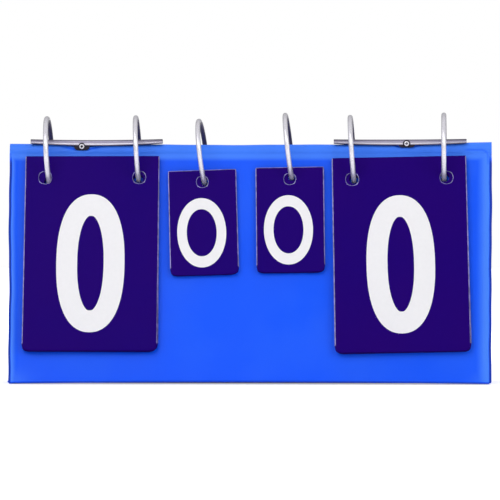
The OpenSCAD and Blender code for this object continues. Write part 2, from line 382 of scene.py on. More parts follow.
def plasticised_pvc(settings):
    """Soft PVC sheet, calendered smooth and high-frequency welded: a saturated blue with a soft gloss, with a
    painted highlight along the ridge and the sides and painted shade at the welded edges, in creases and at the
    foot, which a value on the pieces' points says, with a cloud of slack about 60 mm across and a very fine orange
    peel about 1.5 mm across."""
    material, tree, place = start_material("plasticised_pvc_sheet")
    cloud = add(
        tree, "ShaderNodeTexNoise", {"Vector": place, "Scale": 16.0, "Detail": 3.0, "Roughness": 0.5}
    )
    painted_light = add(tree, "ShaderNodeAttribute", attribute_name="painted_light").outputs["Fac"]
    # Above 0 the points' value paints a highlight, below 0 it paints shade
    stretched = add(tree, "ShaderNodeMapRange", {"Value": painted_light, 1: 0.0, 2: 1.0})
    slack = add(tree, "ShaderNodeMapRange", {"Value": cloud.outputs[0], 1: 0.45, 2: 0.75, 3: 0.0, 4: 0.12})
    light = add(tree, "ShaderNodeMath", {0: stretched.outputs[0], 1: slack.outputs[0]}, operation="MAXIMUM")
    welded = add(tree, "ShaderNodeMapRange", {"Value": painted_light, 1: 0.0, 2: -1.0})
    tint = mixed(tree, light.outputs[0], rgba(settings.vinyl), rgba(settings.vinyl_painted_highlight))
    tint = mixed(tree, welded.outputs[0], tint, rgba(settings.vinyl_painted_shade))
    # 1 / 1.5 mm is a scale of about 660
    peel = add(tree, "ShaderNodeTexNoise", {"Vector": place, "Scale": 660.0, "Detail": 2.0})
    gloss = add(tree, "ShaderNodeMapRange", {"Value": cloud.outputs[0], 1: 0.3, 2: 0.7, 3: 0.3, 4: 0.4})
    bump = add(tree, "ShaderNodeBump", {"Height": peel.outputs[0], "Strength": 0.06, "Distance": 0.0002})
    finish_material(
        tree,
        {
            "Base Color": tint,
            "Roughness": gloss.outputs[0],
            "Specular IOR Level": 0.12,
            "Normal": bump.outputs[0],
        },
    )
    return material


def printed_card(settings):
    """Offset-printed card in gloss film: a deep indigo ground with a faint reddish and bluish cloud, under
    a clear smooth film that shows as a low, sharp gloss."""
    material, tree, place = start_material("laminated_printed_card")
    cloud = add(tree, "ShaderNodeTexNoise", {"Vector": place, "Scale": 14.0, "Detail": 2.0})
    tint = mixed(
        tree, cloud.outputs[0], shade(settings.ink, 0.75, 1.0, 1.08), shade(settings.ink, 1.35, 1.0, 1.0)
    )
    wave = add(tree, "ShaderNodeTexNoise", {"Vector": place, "Scale": 60.0, "Detail": 1.0})
    bump = add(tree, "ShaderNodeBump", {"Height": wave.outputs[0], "Strength": 0.05, "Distance": 0.0006})
    finish_material(
        tree, {"Base Color": tint, "Roughness": 0.3, "Specular IOR Level": 0.012, "Normal": bump.outputs[0]}
    )
    return material


def number_white(settings):
    """The unprinted white of the same card, seen through the film: nearly white with a trace of paper
    fibre."""
    material, tree, place = start_material("laminated_white_card")
    fibre = add(tree, "ShaderNodeTexNoise", {"Vector": place, "Scale": 420.0, "Detail": 3.0})
    tint = mixed(tree, fibre.outputs[0], rgba(settings.numeral), shade(settings.numeral, 0.95))
    finish_material(tree, {"Base Color": tint, "Roughness": 0.32, "Specular IOR Level": 0.2})
    return material


def film_edge(settings):
    """Clear polyester film where it runs past the print: pale lilac, slightly cloudy where the two films
    are bonded."""
    material, tree, place = start_material("clear_laminating_film")
    cloud = add(tree, "ShaderNodeTexNoise", {"Vector": place, "Scale": 180.0, "Detail": 2.0})
    ramp = add(tree, "ShaderNodeMapRange", {"Value": cloud.outputs[0], 1: 0.38, 2: 0.62})
    tint = mixed(tree, ramp.outputs[0], shade(settings.film, 0.45), rgba(settings.film))
    finish_material(tree, {"Base Color": tint, "Roughness": 0.22, "Specular IOR Level": 0.45})
    return material


def nickel_plate(settings):
    """Satin nickel over drawn steel wire: a pale silver with a soft highlight and specks in the plating
    under 1 mm across. The plating scatters part of the light, so it is not fully metallic."""
    material, tree, place = start_material("nickel_plated_steel")
    speck = add(tree, "ShaderNodeTexNoise", {"Vector": place, "Scale": 1400.0, "Detail": 2.0})
    tint = mixed(tree, speck.outputs[0], rgba(settings.nickel), shade(settings.nickel, 0.9))
    rough = add(tree, "ShaderNodeMapRange", {"Value": speck.outputs[0], 1: 0.3, 2: 0.7, 3: 0.26, 4: 0.34})
    finish_material(tree, {"Base Color": tint, "Metallic": 0.6, "Roughness": rough.outputs[0]})
    return material


def nickel_painted_shade(settings):
    """The same plating on the inner side of the rings' back halves, painted a darker violet grey as painted shade.
    """
    material, tree, place = start_material("nickel_painted_shade")
    cloud = add(tree, "ShaderNodeTexNoise", {"Vector": place, "Scale": 260.0, "Detail": 2.0})
    # The darker violet grey is painted shade
    tint = mixed(tree, cloud.outputs[0], shade(settings.wire_painted_shade, 0.7), rgba(settings.wire_painted_shade))
    finish_material(
        tree, {"Base Color": tint, "Metallic": 0.3, "Roughness": 0.5, "Specular IOR Level": 0.2}
    )
    return material


def pressed_steel(settings):
    """Zinc-plated strip steel, pressed to a channel: grey with a violet cast and rolled lines along its length,
    with painted shade in lines along the section and a painted highlight along a line of the face. A value on the
    pieces' points says where: -1 painted shade, +1 painted highlight."""
    material, tree, place = start_material("zinc_plated_strip_steel")
    # Rolled lines: 1.2 mm apart across the strip and about 60 mm long
    stretch = add(tree, "ShaderNodeMapping", {"Vector": place, "Scale": (16.0, 850.0, 850.0)})
    streak = add(tree, "ShaderNodeTexNoise", {"Vector": stretch.outputs[0], "Scale": 1.0, "Detail": 3.0})
    tint = mixed(tree, streak.outputs[0], shade(settings.steel, 0.55), rgba(settings.steel))
    painted_light_value = add(tree, "ShaderNodeAttribute", attribute_name="painted_light").outputs["Fac"]
    painted_shade_share = add(tree, "ShaderNodeMapRange", {"Value": painted_light_value, 1: 0.0, 2: -1.0})
    painted_highlight_share = add(tree, "ShaderNodeMapRange", {"Value": painted_light_value, 1: 0.0, 2: 1.0})
    # Painted shade, then a painted highlight, mixed into the steel's colour
    tint = mixed(tree, painted_shade_share.outputs[0], tint, rgba(linear("#2E2540")))
    tint = mixed(tree, painted_highlight_share.outputs[0], tint, rgba(linear("#E4E1EA")))
    bump = add(tree, "ShaderNodeBump", {"Height": streak.outputs[0], "Strength": 0.15, "Distance": 0.0001})
    finish_material(
        tree, {"Base Color": tint, "Metallic": 0.7, "Roughness": 0.36, "Normal": bump.outputs[0]}
    )
    return material


def shadowed_steel():
    """Painted shade: a near-black steel for the bore of a tubular rivet and the joint below its head, which lie in
    shade, and for the ridge plates' lugs."""
    material, tree, place = start_material("rivet_painted_shade")
    speck = add(tree, "ShaderNodeTexNoise", {"Vector": place, "Scale": 900.0, "Detail": 2.0})
    # The near-black colour is painted shade
    tint = mixed(tree, speck.outputs[0], rgba(linear("#120E18")), rgba(linear("#2A2436")))
    finish_material(tree, {"Base Color": tint, "Roughness": 0.6, "Specular IOR Level": 0.2})
    return material


def woven_nylon():
    """Hook-and-loop tape: navy nylon with a dense pile of loops, each about 1 mm across."""
    material, tree, place = start_material("napped_nylon_tape")
    # 1 mm loops are a scale of 1000
    loops = add(tree, "ShaderNodeTexVoronoi", {"Vector": place, "Scale": 1000.0})
    tint = mixed(tree, loops.outputs[0], rgba(linear("#142766")), rgba(linear("#2F4AA8")))
    bump = add(tree, "ShaderNodeBump", {"Height": loops.outputs[0], "Strength": 0.8, "Distance": 0.0005})
    finish_material(
        tree,
        {
            "Base Color": tint,
            "Roughness": 0.9,
            "Sheen Weight": 0.4,
            "Specular IOR Level": 0.1,
            "Normal": bump.outputs[0],
        },
    )
    return material


def greyboard():
    """Recycled greyboard: dull warm grey with flecks of fibre about 0.6 mm across."""
    material, tree, place = start_material("recycled_greyboard")
    fleck = add(tree, "ShaderNodeTexNoise", {"Vector": place, "Scale": 1600.0, "Detail": 4.0})
    ramp = add(tree, "ShaderNodeMapRange", {"Value": fleck.outputs[0], 1: 0.35, 2: 0.7})
    tint = mixed(tree, ramp.outputs[0], rgba(linear("#7E776C")), rgba(linear("#9A9286")))
    finish_material(tree, {"Base Color": tint, "Roughness": 0.95, "Specular IOR Level": 0.1})
    return material


def any_ray(tree, first, second):
    """1 for a ray of either kind, and 0 for the others."""
    return add(tree, "ShaderNodeMath", {0: first, 1: second}, operation="ADD", use_clamp=True).outputs[0]


def stage_paper(settings):
    """Matt white paper sweep: camera, glossy and transmission rays see it lifted to the background's white,
    with the object's shadow kept."""
    material, tree, place = start_material("matt_paper_sweep")
    grain = add(tree, "ShaderNodeTexNoise", {"Vector": place, "Scale": 200.0})
    tint = mixed(tree, grain.outputs[0], rgba(settings.floor), shade(settings.floor, 0.99))
    rays = add(tree, "ShaderNodeLightPath")
    seen = any_ray(tree, rays.outputs["Is Camera Ray"], rays.outputs["Is Glossy Ray"])
    seen = any_ray(tree, seen, rays.outputs["Is Transmission Ray"])
    # Far from the object, where the lamps' light falls off, the paper fades into the white background
    distance = add(tree, "ShaderNodeVectorMath", {0: place}, operation="LENGTH")
    glow = add(
        tree, "ShaderNodeMapRange", {"Value": distance.outputs["Value"], 1: 0.45, 2: 1.3, 3: 0.45, 4: 1.0}
    )
    lift = add(tree, "ShaderNodeMath", {0: seen, 1: glow.outputs[0]}, operation="MULTIPLY")
    finish_material(
        tree,
        {
            "Base Color": tint,
            "Roughness": 1.0,
            "Specular IOR Level": 0.0,
            "Emission Color": (1.0, 1.0, 1.0, 1.0),
            "Emission Strength": lift.outputs[0],
        },
    )
    return material


MATERIALS = {}


def use_material(maker, *settings):
    """A maker's material, made once."""
    if maker not in MATERIALS:
        MATERIALS[maker] = maker(*settings)
    return MATERIALS[maker]


# Shapes of the sheet and the metal


def rise(t):
    """Smooth step from 0 to 1."""
    t = np.clip(t, 0, 1)
    return t * t * (3 - 2 * t)


def hump(t, width):
    return np.exp(-((t / width) ** 2))


# How far each ridge plate's rivet sits from its nominal place, right and up
RIVET_SHIFT = [(0.2, -0.8), (-1.5, 1.4)]


def rivet_places():
    """(x, z) of each ridge plate's rivet, left then right."""
    co = node_points("plate_rivets")
    parts = co[co[:, 0] < 0], co[co[:, 0] > 0]
    middles = [(part.min(0) + part.max(0)) / 2 for part in parts]
    return [(middle[0] + dx, middle[2] + dz) for middle, (dx, dz) in zip(middles, RIVET_SHIFT)]


def pucker(x, z):
    """How far the sheet stands proud round the rivets: folds fan out below each one, as cos of the angle
    from straight down, and die away with distance; the sheet is drawn in right at the rivet."""
    total = np.zeros_like(x)
    for rivet_x, rivet_z in rivet_places():
        across, down = x - rivet_x, rivet_z - z
        reach = np.hypot(across, down * 2.2)
        angle = np.arctan2(across, np.maximum(down + 3, 0.1) * 2.2)
        total += 0.42 * np.cos(9 * angle + 0.6) * np.exp(-reach / 16) * rise(reach / 5)
        total -= 0.7 * hump(reach, 7)
    return total


def rivet_fold(x, z):
    """Weight of the two creases that run up and out from below each rivet to its plate, 0.22 mm up for each
    mm along."""
    total = np.zeros_like(x)
    for rivet_x, rivet_z in rivet_places():
        across, down = np.abs(x - rivet_x), rivet_z - z
        ends = (1 - rise((across - 9) / 10)) * rise((across - 2) / 3)
        total += hump(down - 3.4 + 0.22 * across, 0.75) * ends
    return total


def corner_seam(x, z, half):
    """Weight of the weld line inside the right upper corner: level 1 mm below the ridge axis, then down 3.2
    mm inside the side round a 5 mm radius, and fading at both ends."""
    a, b, radius = half - 3.2 - x, AXIS_Z - 1 - z, 5.0
    bend = radius - np.hypot(np.maximum(radius - a, 0), np.maximum(radius - b, 0))
    gap = np.where((a < radius) & (b < radius), bend, np.minimum(a, b))
    return hump(gap, 0.8) * rise((x - half + 24) / 6) * (1 - rise((b - 8) / 8))


def body_waves(x, s):
    """Slack in the sheet over the board: a sum of long low waves, 50 to 170 mm from crest to crest."""
    return (
        0.16 * np.sin(x / 27 + 0.4 * np.sin(s / 31)) * np.sin(s / 41 + 1.1)
        + 0.12 * np.sin(x / 11 + s / 23)
        + 0.1 * np.sin(s / 9 + x / 60)
    )


def outline_distance(x, s, half, bottom, radius):
    """Distance inside a rectangle with round lower corners; its top side isn't counted."""
    across = half - np.abs(x)
    below = bottom - s
    corner = radius - np.hypot(np.maximum(radius - across, 0), np.maximum(radius - below, 0))
    return np.where((across < radius) & (below < radius), corner, np.minimum(across, below))


def ring_x(i):
    low, high = node_box(f"ring_front_half_{i}")
    return (low[0] + high[0]) / 2 + RING_SLIDE[i]


def ring_crossing(w, size):
    """Distance down the slope at which the rings pass through the height w: a chord of the circle of the
    ring's radius."""
    low, high = node_box("ring_front_half_1")
    radius = (high[2] - RING_Z - 2) * size
    drop = AXIS_Z - RING_Z
    return drop * cos(LEAN) + (radius**2 - (w + drop * sin(LEAN)) ** 2) ** 0.5


# How each ring hangs in its holes: lean of its top to the left and turn about its upright, in degrees, and
# rise in millimetres
RING_HANG = {
    1: (3.2, 0.6, -1.9),
    2: (3.3, -0.1, -0.3),
    3: (6.6, 3.5, -2.4),
    4: (6.5, 1.8, 2.0),
    5: (3.8, 1.3, -0.4),
    6: (0.3, 1.3, 1.2),
}  # fmt: skip
# How far each ring has slid along the ridge, to the right, and its size, since such rings are bent a little
# unevenly
RING_SLIDE = {1: 0.25, 2: -1.6, 3: -0.95, 4: -1.7, 5: -1.55, 6: -1.45}
RING_SIZE = {1: 1.0, 2: 0.97, 3: 0.95, 4: 0.96, 5: 0.98, 6: 0.985}
# The front cover's holes for the rings fit the wire closely, the back cover's leave room for the folding
COVER_HOLE, HOLE_BLOCK = {FRONT: 2.2, BACK: 4.4}, 6.0
# Radius of a cover's lower corners
COVER_CORNER = 1.6
# Distances of the cover's grid lines from its sides, closer where the sheet turns from the weld up to the
# board, and from its foot and the lip's edge
SIDE_LINES = [0.35, 0.7, 1.05, 1.4, 1.75, 2.1, 2.6, 3.2, 3.8, 4.6, 5.4, 6.4, 7.6, 9.0, 11.0]
FOOT_LINES, LIP_LINES = (0.15, 0.4, 0.8, 1.3, 1.9, 2.6, 4, 7), (0.3, 0.7, 1.2, 1.6, 2.4)
# The board's cover stands at least this high over the plane through the ridge axis, beyond a margin at its
# edges
BOARD_FACE, BOARD_MARGIN = 3.52, 3.7
# The sides' section is worked out as if the foot were this much lower, so that it runs on straight past it
PAST_FOOT = 40
# Half thickness of the weld, where the two sheets are one, and of the very bottom edge, where the sheet
# turns round the board
WELD_HALF, FOOT_HALF = 0.6, 1.3
# The front cover's outer sheet hangs this far past the foot as a lip, in front of the base flap's edge
LIP, LIP_IN, LIP_OUT = 3.9, 3.3, 4.15


def ring_hole(i, side, middle):
    """(x, s) at which a hung ring passes through a cover: its own turn and lean carry the crossing
    sideways."""
    lean, turn, lift = RING_HANG[i]
    s = ring_crossing(middle, RING_SIZE[i])
    down = RING_Z - (AXIS_Z - s * cos(LEAN) + middle * sin(LEAN))
    y = side * (s * sin(LEAN) + middle * cos(LEAN))
    return ring_x(i) + down * sin(radians(lean)) + y * sin(radians(turn)), s - lift / cos(LEAN)


def foot_arch(x, half):
    """The bottom edge stands on its corners: its middle is 1.3 mm higher."""
    return 1.3 * (1 - (x / half) ** 2)


def cover_outline(x, s, half, bottom):
    """Moves the flat cover's points to its real outline: the sides draw in towards the foot, less on the
    right, and waver a little, and the foot is arched."""
    near_side = (np.abs(x) / half) ** 6
    draw = np.where(x > 0, 1.5 * rise(s / bottom), 2.5 * rise(s / bottom) - 0.5 * hump(s - 40, 30))
    waver = (
        np.where(x > 0, 0.12, 0.25) * np.sin(s / 13 + np.sign(x)) + 0.12 * np.sin(s / 5.3 + 2 * np.sign(x))
    )
    x = x - np.sign(x) * near_side * (draw + waver)
    return x, s - foot_arch(x, half) * (s / bottom) ** 8


def cover_half(x, s, half, foot, radius, body, settings):
    """Half thickness of a cover: the weld's along its sides, a smooth shoulder up to the board with a low
    roll of sheet past it, and a round turn at the foot."""
    weld, shoulder = settings.weld_width / MM, settings.shoulder / MM
    d = outline_distance(x, s, half, foot + PAST_FOOT, radius)
    side = WELD_HALF + (body - WELD_HALF) * rise((d - weld) / shoulder)
    side += settings.pillow / MM * hump(d - weld - shoulder - 1.6, 2.4)
    below = np.clip((foot - s) / 2.4, 0, 1)
    turned_in = FOOT_HALF + (body + 0.3 - FOOT_HALF) * np.sqrt(1 - (1 - below) ** 2)
    return np.minimum(side, turned_in)


def cover_painted_light(x, s, half, top, foot, radius):
    """Painted light on the sheet, from a painted highlight (to 1) to painted shade (to -1): highlight along the
    ridge, in a band inside each side that widens towards the foot and in the lower corners, and shade in the weld
    at the very edge and in the turn at the foot."""
    d = outline_distance(x, s, half, foot + PAST_FOOT, radius)
    down = np.clip((s - top) / (foot - top), 0, 1)
    ridge = 1 - rise((s - top - 3.2) / 4.5)
    wide = np.where(x > 0, 10.0 + 1.0 * down, 4.4 + 1.6 * down)
    band = rise((d - 1.3) / 1.0) * (1 - rise((d - wide * 0.35) / (wide * 0.95)))
    corner = hump(half - np.abs(x), 16) * hump(foot - s, 9) * 0.5
    light = np.maximum(np.maximum(0.85 * ridge, band), corner)
    weld = (1 - rise((d - 1.5) / 1.0)) * rise((s - top - 2) / 8)
    turn = 0.6 * (1 - rise((foot - s) / 1.5))
    return np.where(weld > 0.02, light * (1 - weld) - 0.95 * weld, light) * (1 - turn) - turn


def build_cover(name, settings):
    """One leaning cover: a slab whose faces stand at middle +- half thickness, with the sheet's slack on
    both. Past the front cover's foot only the outer sheet goes on, as a lip."""
    side = SIDES[name]
    low, high = panel_box(f"{name}_cover_vinyl", side)
    half, top, foot = high[0], low[1], high[1]
    middle, body = (low[2] + high[2]) / 2, (high[2] - low[2]) / 2
    radius = COVER_CORNER
    bottom = foot + LIP if side == FRONT else foot
    crossings = [ring_hole(i, side, middle) for i in RINGS]
    hole_s = np.mean([s for _, s in crossings])
    holes = [(x, s, COVER_HOLE[side]) for x, s in crossings]
    marks = [end * (half - e) for e in SIDE_LINES for end in (-1, 1)]
    marks += [x + d for x, *_ in holes for d in (-HOLE_BLOCK, HOLE_BLOCK)]
    xs = grid_lines(-half, half, 2.0, marks)
    upper = grid_lines(top, hole_s + HOLE_BLOCK, 0.8, [hole_s - HOLE_BLOCK])
    rows = [foot - e for e in FOOT_LINES]
    if side == FRONT:
        rows += [foot, foot + 0.05, *(bottom - e for e in LIP_LINES)]
    lower = grid_lines(hole_s + HOLE_BLOCK, bottom, 3.0, rows)
    blocks = [(x, hole_s, r, HOLE_BLOCK, s - hole_s) for x, s, r in holes]
    points, quads, outline, loops = holed_grid(xs, np.concatenate([upper, lower[1:]]), blocks)
    points = round_corners(points, (-half, top), (half, bottom), radius, [(-1, 1), (1, 1)])

    def place(x, s, w):
        px, ps = cover_outline(x, s, half, bottom)
        return panel_points(side, px, ps, w)

    def slack(x, s):
        d = outline_distance(x, s, half, foot, radius)
        return body_waves(x + 90 * (side > 0), s) * rise((d - 6) / 26) * rise((s - top) / 14)

    def outer(x, s):
        z = AXIS_Z - s * cos(LEAN) + middle * sin(LEAN)
        turn = foot + PAST_FOOT if side == FRONT else foot
        w = middle + cover_half(x, s, half, turn, radius, body, settings) + slack(x, s)
        w = w + pucker(x, z) * rise((s - top + 1) / 3) - 0.4 * hump(s - top - 1.2, 1.2)
        w = w - 0.35 * rivet_fold(x, z) - 0.3 * corner_seam(x, z, half)
        over_board = (half - np.abs(x) > BOARD_MARGIN) & (s > top + 0.3) & (s < foot - BOARD_MARGIN)
        w = np.where(over_board, np.maximum(w, BOARD_FACE), w)
        if side == FRONT:
            # The lip carries on the outer face without a step: it flares from it over 5 mm at the sides and
            # 14 mm elsewhere
            edge = np.minimum(half - np.abs(x), bottom - s)
            run = 5 + 9 * rise((half - np.abs(x)) / 3)
            flare = rise((s - foot + run) / run)
            w = w * (1 - flare) + LIP_OUT * flare - 0.4 * (1 - rise(edge / 0.8)) * (s > foot - 1)
        return w

    def inner(x, s):
        w = middle - cover_half(x, s, half, foot, radius, body, settings) + 0.4 * slack(x, s)
        return np.where(s > foot + 0.01, LIP_IN + 0.2 * (s > bottom - 0.2), w) if side == FRONT else w

    verts, faces = slab((points, quads, outline, loops), place, outer, inner)
    x, s = points.T
    painted_light = cover_painted_light(x, s, half, top, bottom, radius)
    z = AXIS_Z - s * cos(LEAN) + middle * sin(LEAN)
    # Painted shade in the creases below the rivets and along the corner weld line
    painted_light -= 0.8 * rivet_fold(x, z) + 0.5 * corner_seam(x, z, half)
    piece = make_piece(
        f"{name}_cover",
        verts,
        np.concatenate(faces),
        [use_material(plasticised_pvc, settings)],
        painted_light=np.tile(painted_light, 2),
    )
    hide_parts(f"{name}_cover_vinyl")
    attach(piece, f"{name}_cover")
    return piece


def smooth_curve(points, count):
    """A Catmull-Rom curve through the points, sampled evenly in its parameter."""
    points = np.array(points, float)
    ends = np.concatenate([2 * points[:1] - points[1:2], points, 2 * points[-1:] - points[-2:-1]])
    t = np.linspace(0, len(points) - 1, count)
    i = np.minimum(t.astype(int), len(points) - 2)
    f = (t - i)[:, None]
    a, b, c, d = (ends[i + n] for n in range(4))
    return 0.5 * (2 * b + (c - a) * f + (2 * a - 5 * b + 4 * c - d) * f**2 + (3 * b - a - 3 * c + d) * f**3)


def build_ridge(settings):
    """The sheet over the ridge: an arch y = a cos t, z = foot + h sin t, carried along the ridge, whose
    height and width vary a little along it and which is drawn in at the rivets. Its feet tuck into the
    covers' upper edges."""
    low, high = node_box("ridge_fold")
    x = grid_lines(low[0], high[0], 1.6)
    x[0], x[-1] = low[0] - 0.2, high[0] - 0.1
    crown = high[2] - AXIS_Z
    foot = -3.3
    stand = np.interp(x, [-192.5, -120, 0, 60, 150, 192.5], [-0.1, -0.6, -1.05, -0.7, 0.2, 1.2])
    stand = stand + 0.08 * np.sin(x / 6.5) + 0.1 * np.sin(x / 15)
    t = np.linspace(0, pi, 41)
    arch = np.stack([-np.cos(t), np.sin(t)], 1)
    height = (crown - foot + stand)[:, None]
    width = 5.0 + 0.1 * np.sin(x / 21)[:, None]
    outer = np.stack([width * arch[:, 0], foot + height * arch[:, 1]], -1)
    legs = np.stack([np.sign(arch[[0, -1], 0]) * 4.3, np.full(2, foot - 1.3)], -1)
    first, last = (np.broadcast_to(leg, (len(x), 1, 2)) for leg in legs)
    outer = np.concatenate([first, outer, last], 1)
    ridge_x, ridge_z = np.broadcast_to(x[:, None], outer.shape[:2]), AXIS_Z + outer[..., 1]
    push = pucker(ridge_x, ridge_z) * rise((outer[..., 1] - foot) / 2)
    direction = outer / np.maximum(np.linalg.norm(outer, axis=-1, keepdims=True), 1e-6)
    fold, seam = rivet_fold(ridge_x, ridge_z), corner_seam(ridge_x, ridge_z, high[0])
    push = push - 0.4 * fold - 0.3 * seam
    outer = outer + direction * push[..., None]
    inner = (outer - direction * 0.6)[:, ::-1]
    profile = np.concatenate([outer, inner], 1)
    verts, faces = along_ridge(x, AXIS_Z, profile)
    # A painted highlight over the whole arch, with painted shade in the creases below the rivets and along the
    # corner weld line
    painted_light = 0.85 - 0.9 * fold - 0.5 * seam
    painted_light = np.concatenate([painted_light, painted_light[:, ::-1]], 1).ravel()
    piece = make_piece(
        "ridge_vinyl", verts, faces, [use_material(plasticised_pvc, settings)], painted_light=painted_light
    )
    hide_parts("ridge_fold")
    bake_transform(piece)
    return piece


def on_flap(x, y, h):
    """Points of the base flap, whose front edge bows up under the arched foot and whose rear half lies
    flat."""
    half = node_box("base_cover_vinyl")[1][0]
    return np.stack([x, y, h + foot_arch(x, half) * rise((-5 - y) / 45)], -1)


def build_base(settings):
    """The base flap: a flat slab with the same welded edge, hollowed on top for the loop band."""
    low, high = node_box("base_cover_vinyl")
    band_low, band_high = node_box("loop_band")
    half, radius = high[0] - 2.0, 2.5
    middle, body = high[2] / 2, high[2] / 2
    edge = [0.35, 0.7, 1.0, 1.3, 1.6, 2.0, 2.6, 3.4, 4.4, 5.6, 8.0, 11.0]
    marks_x = [end * (half - e) for e in edge for end in (-1, 1)]
    marks_x += [b + d for b in (band_low[0], band_high[0]) for d in (-0.3, 0.3)]
    marks_y = [low[1] + e for e in edge] + [high[1] - e for e in edge]
    marks_y += [b + d for b in (band_low[1], band_high[1]) for d in (-0.3, 0.3)]
    grid = holed_grid(grid_lines(-half, half, 4.0, marks_x), grid_lines(low[1], high[1], 3.0, marks_y))
    points = round_corners(
        grid[0], (-half, low[1]), (half, high[1]), radius, [(-1, -1), (1, -1), (-1, 1), (1, 1)]
    )

    def thickness(x, y):
        across = half - np.abs(x)
        along = np.minimum(y - low[1], high[1] - y)
        corner = radius - np.hypot(np.maximum(radius - across, 0), np.maximum(radius - along, 0))
        d = np.where((across < radius) & (along < radius), corner, np.minimum(across, along))
        return WELD_HALF + (body - WELD_HALF) * rise((d - 0.35) / 1.1)

    def outer(x, y):
        inside = (x > band_low[0]) & (x < band_high[0]) & (y > band_low[1]) & (y < band_high[1])
        face = middle + thickness(x, y)
        return np.where(inside, face - (high[2] - band_low[2] - 0.05), face + 0.1 * body_waves(x, y + 60))

    def inner(x, y):
        return middle - thickness(x, y)

    verts, faces = slab((points, *grid[1:]), on_flap, outer, inner)
    piece = make_piece(
        "base_cover", verts, np.concatenate(faces), [use_material(plasticised_pvc, settings)]
    )
    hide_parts("base_cover_vinyl")
    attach(piece, "base_flap")
    return piece


def build_foot_hinge(settings):
    """The strip of sheet that hinges the flap to the back cover: a thin band round the foot's outer
    corner."""
    low, high = panel_box("back_cover_vinyl", BACK)
    _, flap_high = node_box("base_cover_vinyl")
    bottom, face = high[1], high[2]
    x = grid_lines(-high[0] + 7, high[0] - 7, 3.0)
    panel = panel_points(
        BACK, np.zeros(4), bottom - np.array([9.0, 6.5, 4.0, 1.8]), face + np.array([-0.4, 0.12, 0.3, 0.25])
    )[:, 1:]
    flap = np.array([[flap_high[1] + 0.25, 3.4], [flap_high[1] + 0.3, 2.4], [flap_high[1] - 0.2, 1.3]])
    line = smooth_curve(np.concatenate([panel, flap]), 25)
    tangent = np.gradient(line, axis=0)
    tangent /= np.linalg.norm(tangent, axis=1, keepdims=True)
    normal = np.stack([-tangent[:, 1], tangent[:, 0]], 1)
    profile = np.concatenate([line + 0.3 * normal, (line - 0.3 * normal)[::-1]])
    profile = profile + (0.08 * np.sin(x / 9) + 0.06 * np.sin(x / 4))[:, None, None]
    verts, faces = along_ridge(x, 0.0, profile)
    piece = make_piece(
        "base_hinge_strip", verts, faces, [use_material(plasticised_pvc, settings)]
    )
    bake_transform(piece)
    return piece


def build_band(node, body, place):
    """A strip of hook-and-loop tape in its CAD place: a slab with a pile that stands 0 to 0.25 mm proud,
    seeded noise on a 1.5 mm grid."""
    low, high = node_box(node) if body == "base_flap" else panel_box(node, FRONT)
    order = (0, 1, 2) if body == "base_flap" else (0, 2, 1)
    low, high = low[list(order)], high[list(order)]
    step = 1.0 if body == "base_flap" else 0.5
    grid = holed_grid(grid_lines(low[0], high[0], 1.5), grid_lines(low[1], high[1], step))
    pile = np.random.default_rng(7).uniform(0, 0.25, len(grid[0]))
    verts, faces = slab(grid, place, lambda x, y: high[2] + pile, lambda x, y: np.full_like(x, low[2]))
    piece = make_piece(
        f"{node}_tape", verts, np.concatenate(faces), [use_material(woven_nylon)]
    )
    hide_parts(node)
    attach(piece, body)
    return piece


# Half of a ridge plate's section from its long edge to its crown, as (y, z) from the ridge axis: a rolled
# lip, a shallow channel above it and a shoulder
PLATE_HALF = [
    (5.05, 4.3), (5.5, 4.4), (5.72, 4.68), (5.55, 4.97), (5.2, 5.2), (5.02, 5.6), (4.98, 6.05), (5.1, 6.45),
    (5.12, 6.8), (4.85, 7.2), (4.2, 7.55), (3.0, 7.75), (1.5, 7.82), (0.0, 7.85),
]  # fmt: skip
# Each plate's ends from its nominal ones, its sag in the middle, its rise at the left end and how much
# deeper its middle is
PLATE_FIT = [(0.3, -0.9, -0.7, -0.1, 0.35), (-0.9, -1.5, -0.3, -0.3, 0.35)]
PLATE_T = 0.7
# The lugs start this high over the ridge axis, inside the channel, and end this far below the rivet
LUG_TOP, LUG_END, LUG_WIDTH = 3.0, 3.0, 12.7


